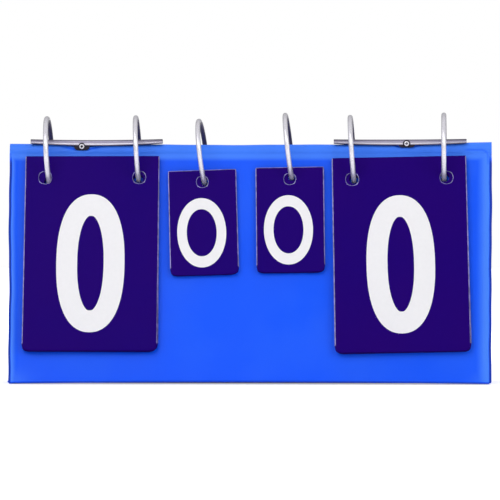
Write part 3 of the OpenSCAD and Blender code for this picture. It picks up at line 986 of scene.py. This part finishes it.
def build_ridge_plate(index, side, metal):
    """A ridge plate: the channel section carried along the ridge, its middle deeper and pressed down a little, and
    a lug with a round end down each side, which the rivet holds. Painted shade lies along a groove line below the
    crown and along the rolled lip, strongest at the plate's ends, with a painted highlight along a line lower on
    the face; the lugs take the near-black rivet steel as painted shade."""
    low, high = node_box(f"ridge_plate_{side}")
    rivet_x, rivet_z = rivet_places()[index]
    half = smooth_curve(PLATE_HALF, 30)
    outer = np.concatenate([half, (half * [-1, 1])[-2::-1]])
    tangent = np.gradient(outer, axis=0)
    normal = np.stack([tangent[:, 1], -tangent[:, 0]], 1)
    normal /= np.linalg.norm(normal, axis=1, keepdims=True)
    inner = outer - normal * PLATE_T
    profile = np.concatenate([outer, inner[::-1]])
    start, stop, drop, left_rise, deeper = PLATE_FIT[index]
    x = grid_lines(low[0] + start, high[0] + stop, 2.0)
    along = (x - x[0]) / (x[-1] - x[0])
    middle = 1 - (2 * along - 1) ** 2
    sag = drop * middle + left_rise * (1 - along)
    crown = profile[:, 1].max()
    depth = (crown - profile[:, 1]) / (crown - profile[:, 1].min())
    profile = np.stack([
        np.broadcast_to(profile[:, 0], (len(x), len(profile))),
        crown - (crown - profile[:, 1]) * (1 + deeper * middle[:, None]),
    ], -1)
    # Painted shade (dark) and a painted highlight (light) along the plate, by depth below the crown
    ends = (1 - middle)[:, None]
    groove = hump(depth - 0.12, 0.3 - 0.16 * middle[:, None])
    dark = (0.95 * ends + 0.35 * middle[:, None]) * groove + 0.9 * hump(depth - 0.97, 0.13)
    light = (0.35 + 0.45 * middle[:, None]) * hump(depth - 0.72, 0.12)
    painted_light = (light - dark).ravel()
    parts = [along_ridge(x, AXIS_Z + sag, profile)]
    channel = len(parts[0][1])
    width = LUG_WIDTH / 2
    for end in (-1, 1):
        u, v = grid_lines(-width, width, 0.7), grid_lines(0, 1, 0.1)
        grid = holed_grid(u, v)
        bottom = rivet_z - AXIS_Z - LUG_END

        def place(a, b, h, end=end, bottom=bottom):
            depth = np.sqrt(np.maximum(1 - (a / width) ** 4, 0)) * 0.75 + 0.25
            z = LUG_TOP - (LUG_TOP - bottom) * b * depth
            return np.stack([rivet_x + a, end * (h + 0.25 * b), AXIS_Z + z], -1)

        verts, faces = slab(
            grid, place, lambda a, b: np.full_like(a, 5.3), lambda a, b: np.full_like(a, 4.7)
        )
        parts.append((verts, np.concatenate(faces).tolist()))
    verts, faces = joined(*parts)
    # The lugs are painted in the near-black steel, as painted shade
    index = [0] * channel + [1] * (len(faces) - channel)
    piece = make_piece(
        f"ridge_plate_{side}_channel",
        verts,
        faces,
        [use_material(pressed_steel, metal), use_material(shadowed_steel)],
        index,
        painted_light=np.concatenate([painted_light, np.zeros(len(verts) - len(painted_light))]),
    )
    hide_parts(f"ridge_plate_{side}")
    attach(piece, "front_cover")
    return piece


# A tubular rivet's head from the bore outwards, as (radius, height over the lug): the bore, the rolled
# bright rim, the joint round it and the thin flange
RIM = [
    (0.95, -0.6),
    (0.9, 0.2),
    (1.0, 0.62),
    (1.3, 0.86),
    (1.65, 0.84),
    (1.95, 0.62),
    (2.06, 0.25),
    (2.1, -0.1),
]
FLANGE = [(2.0, -0.1), (2.12, 0.08), (2.4, 0.2), (2.75, 0.2), (2.95, 0.05), (2.95, -0.3), (2.0, -0.3)]
BORE = [(0.96, 0.3), (0.96, -0.4), (0.02, -0.5), (0.02, -0.7), (1.1, -0.7), (1.1, 0.25)]


def build_rivets(metal):
    """Both tubular rivets: each head's parts are surfaces of revolution about the rivet, front and back."""
    bright, dark = [], []
    for x, z in rivet_places():
        for end in (-1, 1):
            centre, axis = (x, end * 5.6, z), (0, end, 0)
            bright.append(turned(smooth_curve(RIM, 28), centre, axis))
            # The flange and the bore take the near-black steel, as painted shade
            dark += [turned(FLANGE, centre, axis), turned(BORE, centre, axis)]
    rims, flanges = joined(*bright), joined(*dark)
    verts, faces = joined(rims, flanges)
    index = [0] * len(rims[1]) + [1] * len(flanges[1])
    piece = make_piece(
        "tubular_rivets",
        verts,
        faces,
        [use_material(nickel_plate, metal), use_material(shadowed_steel)],
        index,
    )
    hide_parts("plate_rivets")
    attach(piece, "front_cover")
    return piece


# Radius of a ring's eye, and the hinge pin's profile along its axis, as (radius, place)
EYE_R = 3.2
PIN = [(0.02, -2.25), (0.45, -2.2), (0.75, -1.95), (0.75, 1.95), (0.45, 2.2), (0.02, 2.25)]


def hang_ring(verts, i):
    """Turns a ring's points about its centre: first about the upright, then its top leans to the left."""
    lean, turn, lift = RING_HANG[i]
    lean, turn = radians(lean), radians(turn)
    own = (verts - [ring_x(i), 0, RING_Z]) * RING_SIZE[i]
    x = own[:, 0] * cos(turn) + own[:, 1] * sin(turn)
    y = own[:, 1] * cos(turn) - own[:, 0] * sin(turn)
    z = own[:, 2]
    hung = np.stack([x * cos(lean) - z * sin(lean), y, z * cos(lean) + x * sin(lean) + lift], 1)
    return hung + [ring_x(i), 0, RING_Z]


def build_ring_half(i, which, metal, facets):
    """Half of a ring: a round wire carried along half a circle, chamfered at the top joint, and thinned to
    one side at the bottom into the eye that the hinge pin holds."""
    side = SIDES[which]
    low, high = node_box(f"ring_front_half_{i}")
    wire = metal.wire / MM / 2
    radius = high[2] - RING_Z - wire
    start, stop = asin(0.05 / radius), pi - asin(EYE_R * 0.8 / radius)
    t = np.concatenate(
        [[start, start + 0.006], np.linspace(start + 0.02, stop - 0.12, 60), np.linspace(stop - 0.1, stop, 8)]
    )
    out = np.stack([np.zeros_like(t), side * np.sin(t), np.cos(t)], 1)
    path = np.array([ring_x(i), 0, RING_Z]) + radius * out
    sideways = np.tile([1.0, 0.0, 0.0], (len(t), 1))
    angle = np.linspace(0, 2 * pi, facets, endpoint=False)
    size = wire * (1 - 0.12 * np.exp(-(t - start) / 0.006))[:, None]
    thin = rise((t - (stop - 0.12)) / 0.1)[:, None]
    across = size * np.cos(angle) * (1 - 0.5 * thin) + side * thin * wire * 0.52
    profile = np.stack([across, size * np.sin(angle)], -1)
    wire_part = swept(path, sideways, out, profile)
    inside = np.sin(angle + pi / facets) < -0.25
    eye = [
        (1.05, 0.06),
        (EYE_R - 0.2, 0.06),
        (EYE_R, 0.3),
        (EYE_R, wire - 0.3),
        (EYE_R - 0.3, wire),
        (1.3, wire),
        (1.05, wire - 0.25),
    ]
    eye_part = turned(eye, (ring_x(i), 0, RING_Z - radius), (side, 0, 0))
    verts, faces = joined(wire_part, eye_part)
    index = np.zeros(len(faces), int)
    # The back half's inner side takes the darker nickel, as painted shade
    if which == "back":
        index[: (len(t) - 1) * facets] = np.tile(inside, len(t) - 1)
    materials = [use_material(nickel_plate, metal), use_material(nickel_painted_shade, metal)]
    piece = make_piece(
        f"ring_{i}_{which}", hang_ring(verts, i), faces, materials, index, crease=50
    )
    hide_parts(f"ring_{which}_half_{i}")
    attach(piece, "front_cover" if which == "front" else f"ring_{i}_back")
    return piece


def build_pins(metal):
    """The rings' hinge pins: short turned pins with domed ends."""
    low, high = node_box("ring_front_half_1")
    drop = high[2] - RING_Z - 2
    parts = []
    for i in RINGS:
        verts, faces = turned(PIN, (ring_x(i), 0, RING_Z - drop), (1, 0, 0), 24)
        parts.append((hang_ring(verts, i), faces))
    verts, faces = joined(*parts)
    piece = make_piece(
        "ring_hinge_pins", verts, faces, [use_material(nickel_plate, metal)]
    )
    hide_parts("ring_pins")
    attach(piece, "front_cover")
    return piece


# Numbers


def bow(cx, cy, rx, ry, first, last, steps=40, power=2.3):
    """An arc of a superellipse, |x / rx|^power + |y / ry|^power = 1, from one angle to another in
    degrees."""
    t = np.radians(np.linspace(first, last, steps))
    squash = 2 / power
    x = cx + rx * np.sign(np.cos(t)) * np.abs(np.cos(t)) ** squash
    return np.stack([x, cy + ry * np.sign(np.sin(t)) * np.abs(np.sin(t)) ** squash], 1)


def straight(*points):
    """A line through the points, with short steps so that it can follow the card's curve."""
    points = np.array(points, float)
    t = np.linspace(0, len(points) - 1, 12 * (len(points) - 1) + 1)
    at = np.arange(len(points))
    return np.stack([np.interp(t, at, points[:, 0]), np.interp(t, at, points[:, 1])], 1)


def then(*lines):
    """Lines one after the other, as one line."""
    return np.concatenate(lines)


ZERO = bow(0, 0, 1, 1, 90, -270, 97)[:-1]
# The strokes' middle lines of each numeral, in a box from -1 to 1; True marks a closed stroke
STROKES = {
    0: [(ZERO, True)],
    1: [(straight((0.25, 1.12), (0.25, -1.12)), False), (straight((0.35, 0.98), (-0.7, 0.62)), False)],
    2: [
        (then(bow(0, 0.42, 0.98, 0.58, 172, -22), straight((0.72, 0.06), (-0.88, -0.92))[2:]), False),
        (straight((-1.26, -1), (1.26, -1)), False),
    ],
    3: [(bow(0, 0.49, 0.9, 0.51, 160, -95), False), (bow(0, -0.49, 1, 0.51, 95, -160), False)],
    4: [
        (straight((0.42, 1.05), (-1.05, -0.42)), False),
        (straight((-1.25, -0.44), (1.3, -0.44)), False),
        (straight((0.5, 1.12), (0.5, -1.12)), False),
    ],
    5: [
        (straight((-0.85, 1), (1.0, 1)), False),
        (straight((-0.72, 1.1), (-0.86, -0.02)), False),
        (bow(-0.02, -0.32, 1.02, 0.68, 152, -160), False),
    ],
    6: [
        (bow(0, -0.38, 1, 0.62, 90, -270, 81)[:-1], True),
        (then(bow(0.05, 0.1, 1.05, 0.9, 35, 178), straight((-1, 0), (-1, -0.38))[1:]), False),
    ],
    7: [(straight((-1.2, 1), (1.2, 1)), False), (straight((1.0, 0.95), (-0.35, -1.12)), False)],
    8: [
        (bow(0, 0.5, 0.86, 0.5, 90, -270, 65)[:-1], True),
        (bow(0, -0.48, 1, 0.52, 90, -270, 65)[:-1], True),
    ],
}


def stroke_edges(line, nib, closed):
    """Both edges of a stroke: the middle line offset by half a nib that is nib[0] wide and nib[1] high,
    mitred at corners."""
    if closed:
        before, after = line - np.roll(line, 1, 0), np.roll(line, -1, 0) - line
    else:
        step = np.diff(line, axis=0)
        before, after = np.concatenate([step[:1], step]), np.concatenate([step, step[-1:]])
    before /= np.linalg.norm(before, axis=1, keepdims=True)
    after /= np.linalg.norm(after, axis=1, keepdims=True)
    mean = before + after
    mean /= np.linalg.norm(mean, axis=1, keepdims=True)
    normal = np.stack([-mean[:, 1], mean[:, 0]], 1) / np.maximum((mean * after).sum(1), 0.6)[:, None]
    return line + normal * nib / 2, line - normal * nib / 2


def number_parts(value, size, nib, at, mirror, power):
    """A numeral as thin solids on a card. size is its outer width and height, at maps (u, v, height) on the
    card, with v up, to points, mirror turns it for the card's other side, and power is a zero's
    roundness."""
    inner_size = (np.array(size) - nib) / 2
    parts = []
    for order, (line, closed) in enumerate(STROKES[value]):
        if value == 0:
            line = bow(0, 0, 1, 1, 90, -270, 97, power)[:-1]
        left, right = stroke_edges(line * inner_size, np.array(nib), closed)
        share = np.linspace(0, 1, 7)[:, None]
        rows = left[:, None] * (1 - share) + right[:, None] * share
        if mirror:
            rows = rows * [-1, 1]
        height = PRINT_LIFT + STROKE_LIFT * order
        top = at(rows[..., 0], rows[..., 1], height)
        bottom = at(rows[..., 0], rows[..., 1], -height)[:, ::-1]
        skin = np.concatenate([top, bottom], 1)
        k = skin.shape[1]
        ids = np.arange(skin.shape[0] * k).reshape(-1, k)
        loop = np.concatenate([ids, ids[:1]]) if closed else ids
        loop = np.concatenate([loop, loop[:, :1]], 1)
        corners = [loop[:-1, :-1], loop[1:, :-1], loop[1:, 1:], loop[:-1, 1:]]
        faces = np.stack(corners, -1).reshape(-1, 4).tolist()
        if not closed:
            faces += [ids[0].tolist(), ids[-1, ::-1].tolist()]
        if mirror:
            faces = [face[::-1] for face in faces]
        parts.append((skin.reshape(-1, 3), faces))
    return parts


# Cards

# Hole radius, distance between holes, distance of the holes and of the number's middle from the card's
# upper edge, how far the number stands left of the middle, its upright and level strokes' share of the
# stroke setting, a zero's exponent, half the block of the grid round a hole, and the names of the number's
# settings
CARD_LAYOUT = {
    "points": {
        "hole": 5.2,
        "pitch": 75.0,
        "hole_drop": 17.8,
        "number_drop": 88.5,
        "number_left": 0.3,
        "nib": (0.965, 1.035),
        "power": 2.3,
        "block": 7.4,
        "number": "big",
    },
    "games": {
        "hole": 4.7,
        "pitch": 0.0,
        "hole_drop": 9.8,
        "number_drop": 51.9,
        "number_left": 1.5,
        "nib": (0.9, 1.09),
        "power": 2.05,
        "block": 7.0,
        "number": "small",
    },
}
# How each stack hangs in its plane: turn in degrees, its lower end towards +x, and shift right and up in
# millimetres
STACK_HANG = {
    "left_points": (0.1, -0.6, 0.0),
    "right_points": (1.1, -0.7, -0.8),
    "left_games": (2.0, -0.7, -1.4),
    "right_games": (1.0, -0.9, 1.0),
}  # fmt: skip


# How much closer the holes of the leaves behind the first are, the radius of a card's lower corners, how
# far the first card's foot curls off, and the print's height over the card and of each stroke over the one
# before
CLOSER, CORNER_R, CURL, PRINT_LIFT, STROKE_LIFT = 1.2, 5.0, 0.55, 0.03, 0.01
# The rings that hold each stack
STACK_RINGS = {"left_points": (1, 2), "left_games": (3,), "right_games": (4,), "right_points": (5, 6)}


def build_card(stack, k, settings):
    """One leaf: a thin slab with round lower corners and punched holes, bonded thinner along its film edge,
    slightly bowed, with its number on the front and the next one on the reverse."""
    name = f"{stack}_{k}"
    kind = stack.split("_")[1]
    plan = CARD_LAYOUT[kind]
    low, high = panel_box(name, FRONT)
    middle_x, top, bottom = (low[0] + high[0]) / 2, low[1], high[1]
    half, margin, radius = (high[0] - low[0]) / 2, settings.film_margin / MM, CORNER_R
    hole_s = top + plan["hole_drop"]
    draw = np.random.default_rng([len(stack), k, ord(stack[0])])
    turn, right, raised = STACK_HANG[stack]
    turn, shift = radians(turn), np.array([right, -raised], float)
    if k:
        turn += radians(draw.uniform(-0.22, 0.22))
        shift += draw.uniform(-0.35, 0.35, 2)
    bore = plan["hole"]
    centres = [(x, 0.0) for x in sorted({-plan["pitch"] / 2, plan["pitch"] / 2})]
    if k:
        # The wire passes the middle of these closer holes, halfway between its places in front and behind
        bore -= CLOSER
        depth = (low[2] + high[2]) / 2
        passing = np.array(
            [[ring_hole(i, side, depth) for side in (FRONT, BACK)] for i in STACK_RINGS[stack]]
        )
        own = passing.mean(1) - [middle_x, hole_s] - shift
        centres = own @ [[cos(turn), sin(turn)], [-sin(turn), cos(turn)]]
    holes = [(x, hole_s, bore, plan["block"], lower) for x, lower in centres]
    marks_x = [s * (half - e) for s in (-1, 1) for e in (0.25, margin, 2.0)]
    marks_x += [x + d for x, _ in centres for d in (-plan["block"], plan["block"])]
    marks_s = [top + 0.25, top + margin, *(bottom - e for e in (0.25, margin, 2.0))]
    marks_s += [hole_s - plan["block"], hole_s + plan["block"]]
    points, quads, outline, loops = holed_grid(
        grid_lines(-half, half, 4.0, marks_x), grid_lines(top, bottom, 4.0, marks_s), holes
    )
    points = round_corners(points, (-half, top), (half, bottom), radius, [(-1, 1), (1, 1)])
    points = round_corners(points, (-half, top), (half, bottom), 0.8, [(-1, -1), (1, -1)])
    curl = CURL if k == 0 else 0.0

    def distance(x, s):
        edge = np.minimum(outline_distance(x, s, half, bottom, radius), s - top)
        bored = np.min([np.hypot(x - hx, s - hole_s - lower) - bore for hx, lower in centres], 0)
        return edge, bored

    def bend(x, s):
        drop = (s - top) / (bottom - top)
        wave = 0.12 * np.sin(x / half * 2.1 + 0.5) * np.sin(drop * 5.0)
        return wave + curl * drop**3 * (0.6 + 0.4 * (x / half) ** 2)

    def place(x, s, w):
        px = x * cos(turn) + (s - hole_s) * sin(turn) + shift[0]
        ps = (s - hole_s) * cos(turn) - x * sin(turn) + hole_s + shift[1]
        return panel_points(FRONT, middle_x + px, ps, w)

    def bonded(x, s):
        edge, bored = distance(x, s)
        return 0.09 * (1 - rise(np.minimum(edge, bored) / margin))

    def outer(x, s):
        return high[2] + bend(x, s) - bonded(x, s)

    def inner(x, s):
        return low[2] + bend(x, s) + bonded(x, s)

    verts, faces = slab((points, quads, outline, loops), place, outer, inner)
    middle = points[quads].mean(1)
    edge, bored = distance(*middle.T)
    # The lower margin, the big cards' upper one and the inner leaves' holes lie in shadow and stay dark
    rim = half - np.abs(middle[:, 0])
    if kind == "games":
        rim = np.minimum(rim, middle[:, 1] - top)
    filmed = ((rim < margin * 0.98) | (bored < margin * 0.9) & (k == 0)).astype(int)
    index = [*filmed, *filmed, *np.zeros(len(faces[2]), int)]
    parts = [(verts, np.concatenate(faces).tolist())]
    width, height, stroke = (
        getattr(settings, f"{plan['number']}_{part}") / MM for part in ("width", "height", "stroke")
    )
    size, nib = (width, height), tuple(stroke * share for share in plan["nib"])
    number_s = top + plan["number_drop"]
    for value, mirror in ((k, False), (k + 1, True)):

        def at(u, v, lift, mirror=mirror):
            u = u - plan["number_left"] * (-1 if mirror else 1)
            s = number_s - v
            w = low[2] + bend(u, s) - lift if mirror else high[2] + bend(u, s) + lift
            return place(u, s, w)

        parts += number_parts(value, size, nib, at, mirror, plan["power"])
    verts, faces = joined(*parts)
    index += [2] * (len(faces) - len(index))
    materials = [use_material(maker, settings) for maker in (printed_card, film_edge, number_white)]
    piece = make_piece(f"{name}_card", verts, faces, materials, index)
    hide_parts(name)
    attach(piece, name)
    return piece


# Stage


def build_stage(stage):
    """A floor, a studio of large soft lamps and a camera at the photograph's angle."""
    size = 8.0
    u = np.linspace(-size, size, 5)
    points, quads, _, _ = holed_grid(u, u)
    mesh = bpy.data.meshes.new("paper_sweep")
    mesh.from_pydata(np.column_stack([points, np.full(len(points), -0.0004)]).tolist(), [], quads.tolist())
    mesh.materials.append(stage_paper(stage))
    floor = bpy.data.objects.new("paper_sweep", mesh)
    bpy.context.scene.collection.objects.link(floor)
    lamps = {
        "key_softbox": ((-0.9, -1.9, 1.7), 1.6, 25.0),
        "fill_softbox": ((1.6, -1.7, 1.1), 1.4, 14.0),
        "top_softbox": ((0.0, 0.5, 1.9), 1.6, 12.0),
        "rear_softbox": ((0.6, 2.0, 1.3), 1.6, 12.0),
    }
    for name, (place, width, power) in lamps.items():
        data = bpy.data.lights.new(name, "AREA")
        data.shape, data.size, data.energy = "SQUARE", width, power
        lamp = bpy.data.objects.new(name, data)
        lamp.location = place
        # What shines above and behind is not mirrored as a lamp, since the world's even light stands there
        lamp.visible_glossy = name in ("key_softbox", "fill_softbox")
        lamp.rotation_mode = "QUATERNION"
        lamp.rotation_quaternion = (Vector((0, 0, 0.1)) - Vector(place)).to_track_quat("-Z", "Y")
        bpy.context.scene.collection.objects.link(lamp)

    # The world: white to camera and transmission rays, softer to the rest. What the object mirrors of it is
    # dim in front, where a studio has no lamp, bright at the sides and above and a little darker behind
    world = bpy.data.worlds.new("studio")
    world.use_nodes = True
    tree = world.node_tree
    tree.nodes.clear()
    rays = add(tree, "ShaderNodeLightPath")
    soft = add(tree, "ShaderNodeBackground", {"Color": (1, 1, 1, 1), "Strength": 0.42})
    white = add(tree, "ShaderNodeBackground", {"Color": (1, 1, 1, 1), "Strength": 1.0})
    ahead = add(tree, "ShaderNodeSeparateXYZ", {0: add(tree, "ShaderNodeTexCoord").outputs["Generated"]})
    level = add(
        tree, "ShaderNodeMapRange", {"Value": ahead.outputs["Y"], 1: -0.8, 2: -0.15, 3: 0.75, 4: 0.85}
    )
    behind = add(tree, "ShaderNodeMapRange", {"Value": ahead.outputs["Y"], 1: 0.2, 2: 1.0, 3: 1.0, 4: 0.35})
    level = add(tree, "ShaderNodeMath", {0: level.outputs[0], 1: behind.outputs[0]}, operation="MULTIPLY")
    mirrored = add(tree, "ShaderNodeBackground", {"Color": (1, 1, 1, 1), "Strength": level.outputs[0]})
    seen = any_ray(tree, rays.outputs["Is Camera Ray"], rays.outputs["Is Transmission Ray"])
    unseen = add(
        tree,
        "ShaderNodeMixShader",
        {0: rays.outputs["Is Glossy Ray"], 1: soft.outputs[0], 2: mirrored.outputs[0]},
    )
    surface = add(tree, "ShaderNodeMixShader", {0: seen, 1: unseen.outputs[0], 2: white.outputs[0]})
    add(tree, "ShaderNodeOutputWorld", {"Surface": surface.outputs[0]})
    scene = bpy.context.scene
    scene.world = world
    scene.view_settings.view_transform = "Standard"

    data = bpy.data.cameras.new("photo_camera")
    data.sensor_width, data.lens = 36.0, stage.lens
    camera = bpy.data.objects.new("photo_camera", data)
    camera.location = (stage.sideways, -stage.distance, stage.height)
    aim = Vector((0.0, -0.02, 0.1053))
    camera.rotation_mode = "QUATERNION"
    camera.rotation_quaternion = (aim - camera.location).to_track_quat("-Z", "Y")
    bpy.context.scene.collection.objects.link(camera)
    scene.camera = camera


# Operators


class SCOREBOARD_OT_covers(bpy.types.Operator):
    """Builds the front and back covers and the sheet over the ridge"""

    bl_idname = "scoreboard.covers"
    bl_label = "Covers"

    def execute(self, context):
        settings = context.scene.scoreboard_cover
        for name in SIDES:
            build_cover(name, settings)
        build_ridge(settings)
        return {"FINISHED"}


class SCOREBOARD_OT_base(bpy.types.Operator):
    """Builds the base flap, its hinge strip and the hook-and-loop tapes"""

    bl_idname = "scoreboard.base"
    bl_label = "Base flap"

    def execute(self, context):
        settings = context.scene.scoreboard_cover
        build_base(settings)
        build_foot_hinge(settings)
        low, high = panel_box("front_cover_vinyl", FRONT)

        def on_foot(x, w, s):
            return panel_points(FRONT, x, s - foot_arch(x, high[0]), w)

        build_band("hook_band", "front_cover", on_foot)
        build_band("loop_band", "base_flap", on_flap)
        return {"FINISHED"}


class SCOREBOARD_OT_plates(bpy.types.Operator):
    """Builds the two ridge plates and their rivets"""

    bl_idname = "scoreboard.plates"
    bl_label = "Ridge plates"

    def execute(self, context):
        metal = context.scene.scoreboard_metal
        for index, side in enumerate(("left", "right")):
            build_ridge_plate(index, side, metal)
        build_rivets(metal)
        return {"FINISHED"}


class SCOREBOARD_OT_rings(bpy.types.Operator):
    """Builds the six rings, each in two halves, and their hinge pins"""

    bl_idname = "scoreboard.rings"
    bl_label = "Rings"

    def execute(self, context):
        metal = context.scene.scoreboard_metal
        for i in RINGS:
            for which in SIDES:
                build_ring_half(i, which, metal, context.scene.scoreboard_stage.curve_points)
        build_pins(metal)
        return {"FINISHED"}


class SCOREBOARD_OT_cards(bpy.types.Operator):
    """Builds every leaf of the four stacks"""

    bl_idname = "scoreboard.cards"
    bl_label = "Cards"

    def execute(self, context):
        for stack, leaves in STACKS.items():
            for k in range(leaves):
                build_card(stack, k, context.scene.scoreboard_card)
        return {"FINISHED"}


class SCOREBOARD_OT_boards(bpy.types.Operator):
    """Gives the greyboards inside the covers their material"""

    bl_idname = "scoreboard.boards"
    bl_label = "Greyboards"

    def execute(self, context):
        for node in ("front_board", "back_board", "base_board"):
            mesh = frame["nodes"][node].data
            mesh.materials.clear()
            mesh.materials.append(use_material(greyboard))
        return {"FINISHED"}


class SCOREBOARD_OT_stage(bpy.types.Operator):
    """Builds the floor, lamps, world and camera"""

    bl_idname = "scoreboard.stage"
    bl_label = "Stage"

    def execute(self, context):
        build_stage(context.scene.scoreboard_stage)
        return {"FINISHED"}


OPERATORS = (
    SCOREBOARD_OT_stage,
    SCOREBOARD_OT_boards,
    SCOREBOARD_OT_covers,
    SCOREBOARD_OT_base,
    SCOREBOARD_OT_plates,
    SCOREBOARD_OT_rings,
    SCOREBOARD_OT_cards,
)
SETTINGS = {
    "scoreboard_cover": CoverSettings,
    "scoreboard_card": CardSettings,
    "scoreboard_metal": MetalSettings,
    "scoreboard_stage": StageSettings,
}


class SCOREBOARD_PT_panel(bpy.types.Panel):
    """The scoreboard's settings and pieces"""

    bl_idname = "SCOREBOARD_PT_panel"
    bl_label = "Scoreboard"
    bl_space_type = "VIEW_3D"
    bl_region_type = "UI"
    bl_category = "Scoreboard"

    def draw(self, context):
        for name in SETTINGS:
            box = self.layout.box()
            group = getattr(context.scene, name)
            for key in group.__annotations__:
                box.prop(group, key)
        for operator in OPERATORS:
            self.layout.operator(operator.bl_idname)


def register():
    for cls in (*SETTINGS.values(), *OPERATORS, SCOREBOARD_PT_panel):
        bpy.utils.register_class(cls)
    for name, cls in SETTINGS.items():
        setattr(bpy.types.Scene, name, PointerProperty(type=cls))


def unregister():
    for name in SETTINGS:
        delattr(bpy.types.Scene, name)
    for cls in (SCOREBOARD_PT_panel, *reversed(OPERATORS), *reversed(SETTINGS.values())):
        bpy.utils.unregister_class(cls)


def main():
    register()
    for operator in OPERATORS:
        group, name = operator.bl_idname.split(".")
        getattr(getattr(bpy.ops, group), name)()


if __name__ == "__main__":
    main()
